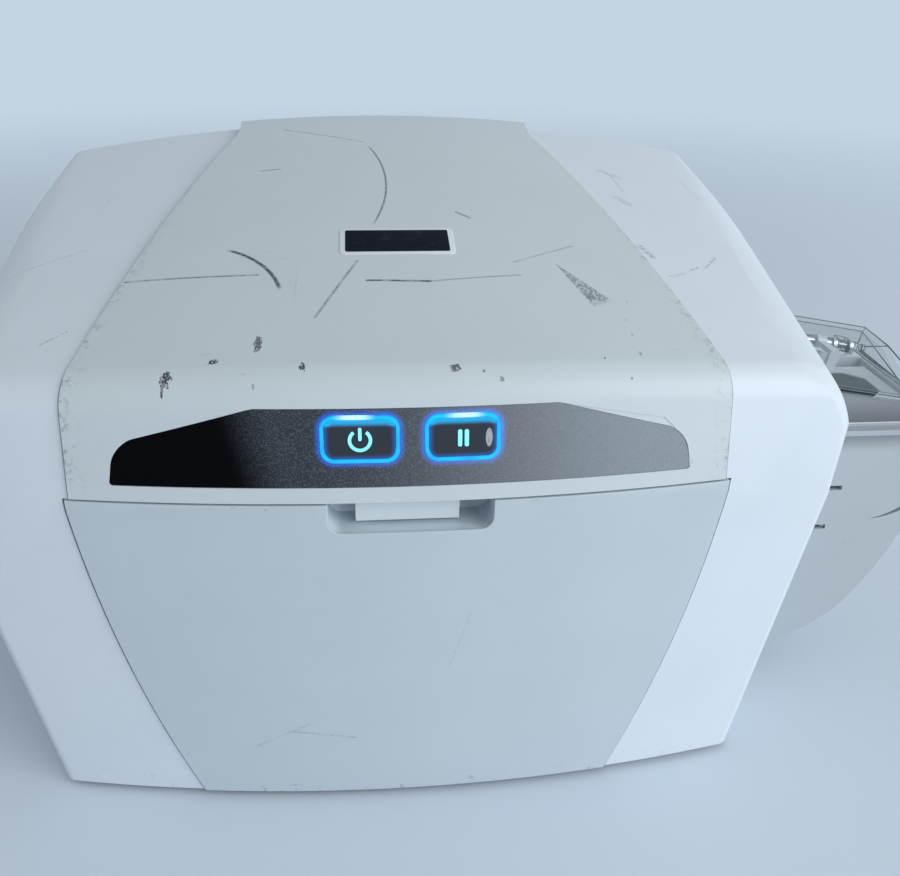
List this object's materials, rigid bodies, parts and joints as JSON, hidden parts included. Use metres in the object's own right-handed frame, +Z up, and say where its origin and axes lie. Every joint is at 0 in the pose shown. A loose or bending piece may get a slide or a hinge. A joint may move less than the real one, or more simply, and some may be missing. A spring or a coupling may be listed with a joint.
{
  "type": "id card printer",
  "caption": "Desktop card printer: flip-up lid with latch and light-ringed buttons, geared card rollers, ribbon cartridge, clear-hooded card hopper and output bin.",
  "frame": {"origin": "on the table plane, under the middle of the printer body, measured across the two side covers and from the front to the back", "axes": "+X to the right as seen from the front, where the card hopper is; +Y from the front to the back; +Z up"},
  "size_m": [0.4198, 0.2331, 0.2482],
  "materials": {
    "white_shell": "moulded satin",
    "lid_grey": "moulded satin",
    "panel_grey": "moulded satin",
    "band_black": "speckled metallic paint",
    "light_ring": "lit light guide",
    "key_grey": "satin",
    "latch_grey": "speckled",
    "bin_grey": "moulded satin",
    "clear_hood": "clear moulding",
    "steel": "zinc plated",
    "plate_metal": "zinc-plated sheet",
    "head_metal": "cast",
    "motor_metal": "black",
    "bush_brass": "turned",
    "rubber": "matt",
    "cleaning_rubber": "tacky sleeve",
    "gear_nylon": "natural nylon",
    "board_green": "solder mask",
    "dark_plastic": "textured",
    "cartridge_plastic": "smooth",
    "ribbon_colour": "dyed film"
  },
  "bodies": {
    "housing": {"hinge_pins": "steel", "hinge_brackets": "steel", "front_panel": "panel_grey", "left_cover": "white_shell", "right_cover": "white_shell", "rear_panel": "panel_grey", "base_pan": "dark_plastic", "rubber_feet": "rubber", "main_board": "board_green", "usb_port": "steel", "power_jack": "dark_plastic", "front_plate": "plate_metal", "rear_plate": "plate_metal", "tie_rods": "steel", "roller_bushes": "bush_brass", "drive_motor": "motor_metal", "ribbon_motor": "motor_metal", "ribbon_cartridge": "cartridge_plastic", "ribbon_film": "ribbon_colour", "card_guides": "plate_metal", "hopper_bay": "white_shell", "pick_belt": "rubber", "output_bin": "bin_grey", "hopper_hinge": "steel"},
    "lid": {"top_lid": "lid_grey", "control_inlay": "band_black", "button_light_rings": "light_ring", "control_board": "board_green", "lid_carrier": "dark_plastic", "head_bracket": "steel", "print_head": "head_metal", "latch_pin": "steel"},
    "latch": {"latch_paddle": "latch_grey"},
    "power_key": {"power_button": "key_grey"},
    "pause_key": {"pause_button": "key_grey"},
    "platen": {"platen_roller": "rubber", "platen_gear": "gear_nylon"},
    "exit_drive": {"exit_roller": "rubber", "exit_gear": "gear_nylon"},
    "entry_drive": {"entry_roller": "rubber", "entry_gear": "gear_nylon"},
    "idler_left": {"left_idler": "gear_nylon"},
    "idler_right": {"right_idler": "gear_nylon"},
    "reduction": {"reduction_gear": "gear_nylon"},
    "motor_shaft": {"motor_pinion": "bush_brass"},
    "pinch_left": {"pinch_roller_left": "rubber"},
    "pinch_right": {"pinch_roller_right": "rubber"},
    "cleaner": {"cleaning_roller": "cleaning_rubber"},
    "pick": {"pick_roller": "rubber"},
    "take_up": {"take_up_spool": "ribbon_colour", "take_up_hub": "gear_nylon"},
    "ribbon_shaft": {"ribbon_pinion": "bush_brass"},
    "supply": {"supply_spool": "ribbon_colour"},
    "flap": {"exit_flap": "dark_plastic"},
    "hood": {"hopper_cover": "clear_hood"},
    "weight": {"card_weight": "white_shell", "weight_pad": "rubber"}
  },
  "joints": [
    {"name": "lid_hinge", "type": "hinge", "parent": "housing", "child": "lid", "pos_m": [0, 0.108, 0.236], "axis": [-1, 0, 0], "range_deg": [0, 60]},
    {"name": "latch_press", "type": "hinge", "parent": "lid", "child": "latch", "pos_m": [0, -0.104, 0.1535], "axis": [1, 0, 0], "range_deg": [0, 9], "stiffness_Nm_per_rad": 0.12, "springref_deg": -8.59},
    {"name": "power_press", "type": "slide", "parent": "lid", "child": "power_key", "axis": [0, 0.9903, -0.1392], "range_m": [0, 0.0008], "stiffness_N_per_m": 600, "springref_m": -0.0008},
    {"name": "pause_press", "type": "slide", "parent": "lid", "child": "pause_key", "axis": [0, 0.9903, -0.1392], "range_m": [0, 0.0008], "stiffness_N_per_m": 600, "springref_m": -0.0008},
    {"name": "hood_hinge", "type": "hinge", "parent": "housing", "child": "hood", "pos_m": [0.20749, 0.0226, 0.15423], "axis": [-0.9848, 0, 0.1736], "range_deg": [0, 75]},
    {"name": "weight_swing", "type": "hinge", "parent": "hood", "child": "weight", "pos_m": [0.20749, 0.0226, 0.15423], "axis": [-0.9848, 0, 0.1736], "range_deg": [-15, 0]},
    {"name": "platen_spin", "type": "hinge", "parent": "housing", "child": "platen", "pos_m": [0, -0.012, 0.10362], "axis": [0, 1, 0], "continuous": true},
    {"name": "exit_spin", "type": "hinge", "parent": "housing", "child": "exit_drive", "pos_m": [-0.062, -0.012, 0.10362], "axis": [0, 1, 0], "continuous": true},
    {"name": "entry_spin", "type": "hinge", "parent": "housing", "child": "entry_drive", "pos_m": [0.062, -0.012, 0.10362], "axis": [0, 1, 0], "continuous": true},
    {"name": "left_idler_spin", "type": "hinge", "parent": "housing", "child": "idler_left", "pos_m": [-0.031, -0.012, 0.10362], "axis": [0, 1, 0], "continuous": true},
    {"name": "right_idler_spin", "type": "hinge", "parent": "housing", "child": "idler_right", "pos_m": [0.031, -0.012, 0.10362], "axis": [0, 1, 0], "continuous": true},
    {"name": "reduction_spin", "type": "hinge", "parent": "housing", "child": "reduction", "pos_m": [0, -0.012, 0.07962], "axis": [0, 1, 0], "continuous": true},
    {"name": "motor_spin", "type": "hinge", "parent": "housing", "child": "motor_shaft", "pos_m": [0, -0.012, 0.04762], "axis": [0, 1, 0], "continuous": true},
    {"name": "pick_spin", "type": "hinge", "parent": "housing", "child": "pick", "pos_m": [0.153, -0.012, 0.10362], "axis": [0, 1, 0], "continuous": true},
    {"name": "cleaner_spin", "type": "hinge", "parent": "housing", "child": "cleaner", "pos_m": [0.098, -0.012, 0.10362], "axis": [0, 1, 0], "continuous": true},
    {"name": "left_pinch_spin", "type": "hinge", "parent": "housing", "child": "pinch_left", "pos_m": [-0.062, -0.012, 0.11768], "axis": [0, 1, 0], "continuous": true},
    {"name": "right_pinch_spin", "type": "hinge", "parent": "housing", "child": "pinch_right", "pos_m": [0.062, -0.012, 0.11768], "axis": [0, 1, 0], "continuous": true},
    {"name": "take_up_spin", "type": "hinge", "parent": "housing", "child": "take_up", "pos_m": [-0.038, -0.012, 0.15], "axis": [0, 1, 0], "continuous": true},
    {"name": "ribbon_motor_spin", "type": "hinge", "parent": "housing", "child": "ribbon_shaft", "pos_m": [-0.058, -0.012, 0.15], "axis": [0, 1, 0], "continuous": true},
    {"name": "supply_spin", "type": "hinge", "parent": "housing", "child": "supply", "pos_m": [0.038, -0.012, 0.15], "axis": [0, 1, 0], "continuous": true},
    {"name": "flap_swing", "type": "hinge", "parent": "housing", "child": "flap", "pos_m": [0.112, -0.012, 0.10932], "axis": [0, 1, 0], "range_deg": [0, 20]}
  ],
  "couplings": [
    {"joint": "left_idler_spin", "follows": "platen_spin", "ratio": -0.9375},
    {"joint": "right_idler_spin", "follows": "platen_spin", "ratio": -0.9375},
    {"joint": "exit_spin", "follows": "platen_spin", "ratio": 1},
    {"joint": "entry_spin", "follows": "platen_spin", "ratio": 1},
    {"joint": "reduction_spin", "follows": "platen_spin", "ratio": -1.6667},
    {"joint": "motor_spin", "follows": "platen_spin", "ratio": 5},
    {"joint": "pick_spin", "follows": "platen_spin", "ratio": 1},
    {"joint": "ribbon_motor_spin", "follows": "take_up_spin", "ratio": -2.3333}
  ]
}
